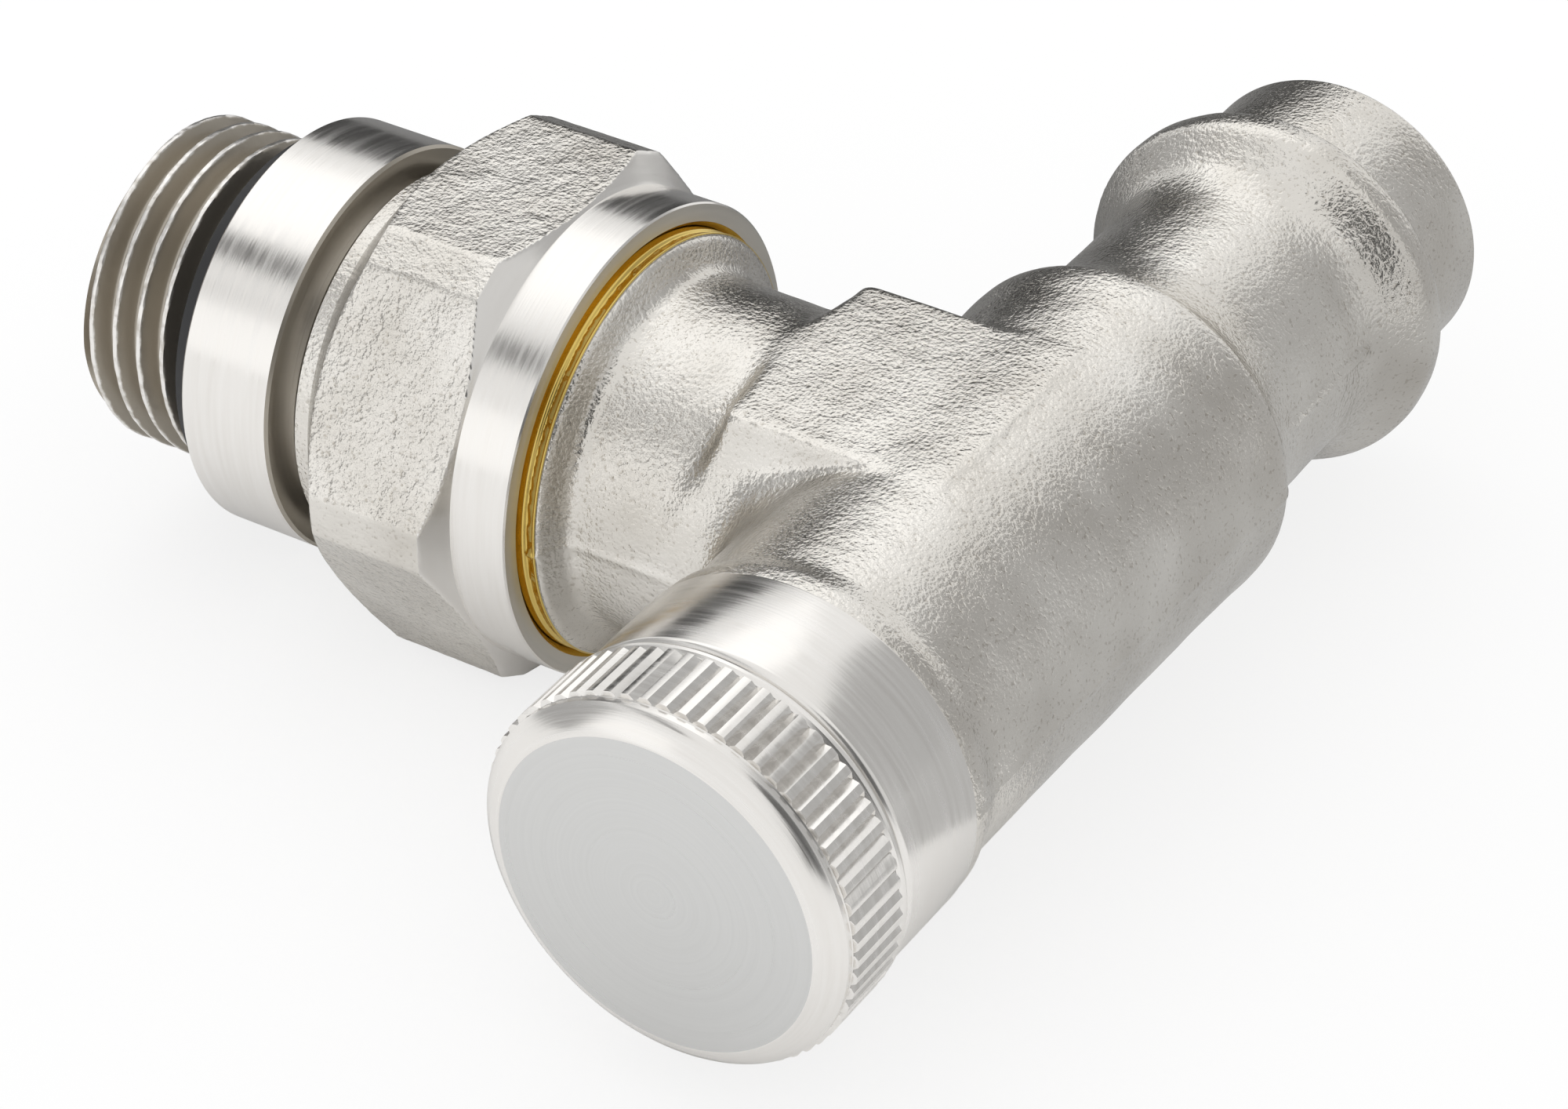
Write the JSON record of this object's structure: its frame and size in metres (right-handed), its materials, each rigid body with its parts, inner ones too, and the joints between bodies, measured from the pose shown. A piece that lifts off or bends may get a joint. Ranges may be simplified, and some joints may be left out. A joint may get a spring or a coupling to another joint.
{
  "type": "angle shut-off valve",
  "caption": "Angle radiator shut-off valve: forged body with press socket, knurled blanking cap over a hexagon spindle, union nut and threaded tail.",
  "frame": {"origin": "where the axis of the union branch crosses the axis of the barrel", "axes": "+Y along the barrel towards the press socket, -X along the union branch towards the radiator thread, +Z out of the upper spanner flat; the valve lies on its side"},
  "size_m": [0.0709, 0.0779, 0.03],
  "materials": {
    "nickel_cast": "nickel-plated forged brass, blasted grain",
    "nickel_turned": "nickel-plated turned brass, fine turning lines",
    "brass_plain": "plain turned brass",
    "steel_ring": "spring steel ring",
    "rubber_black": "black sealing rubber",
    "seal_grey": "hard sealing rubber"
  },
  "bodies": {
    "root": {"valve_body": "nickel_cast", "press_seal": "rubber_black", "bonnet": "brass_plain", "bonnet_seal": "rubber_black", "spindle_stop_ring": "steel_ring"},
    "cone": {"closing_cone": "brass_plain", "cone_clip": "steel_ring", "cone_seal": "seal_grey", "cone_washer": "steel_ring", "cone_screw": "steel_ring"},
    "spindle": {"spindle": "brass_plain", "spindle_seal_upper": "rubber_black", "spindle_seal_lower": "rubber_black"},
    "cap_ring": {"cap_seal": "seal_grey"},
    "cap": {"blanking_cap": "nickel_turned"},
    "tail": {"tailpiece": "nickel_turned", "radiator_seal": "rubber_black", "tail_seal": "rubber_black", "nut_retaining_ring": "steel_ring"},
    "nut": {"union_nut": "nickel_cast"}
  },
  "joints": [
    {"name": "cap_lift", "type": "slide", "parent": "root", "child": "cap_ring", "axis": [0, -1, 0], "range_m": [0, 0.004]},
    {"name": "cap_turn", "type": "hinge", "parent": "cap_ring", "child": "cap", "pos_m": [0, -0.031, 0], "axis": [0, -1, 0], "range_deg": [0, 1441]},
    {"name": "cone_lift", "type": "slide", "parent": "root", "child": "cone", "axis": [0, 1, 0], "range_m": [0, 0.004]},
    {"name": "spindle_turn", "type": "hinge", "parent": "cone", "child": "spindle", "pos_m": [0, -0.02, 0], "axis": [0, 1, 0], "range_deg": [0, 1441]},
    {"name": "tail_slide", "type": "slide", "parent": "root", "child": "tail", "axis": [-1, 0, 0], "range_m": [0, 0.01089]},
    {"name": "nut_turn", "type": "hinge", "parent": "tail", "child": "nut", "pos_m": [-0.033, 0, 0], "axis": [-1, 0, 0], "range_deg": [0, 2161]}
  ],
  "couplings": [
    {"joint": "cap_turn", "follows": "cap_lift", "rad_per_m": 6283.2},
    {"joint": "spindle_turn", "follows": "cone_lift", "rad_per_m": 6283.2},
    {"joint": "nut_turn", "follows": "tail_slide", "rad_per_m": 3463.2}
  ]
}
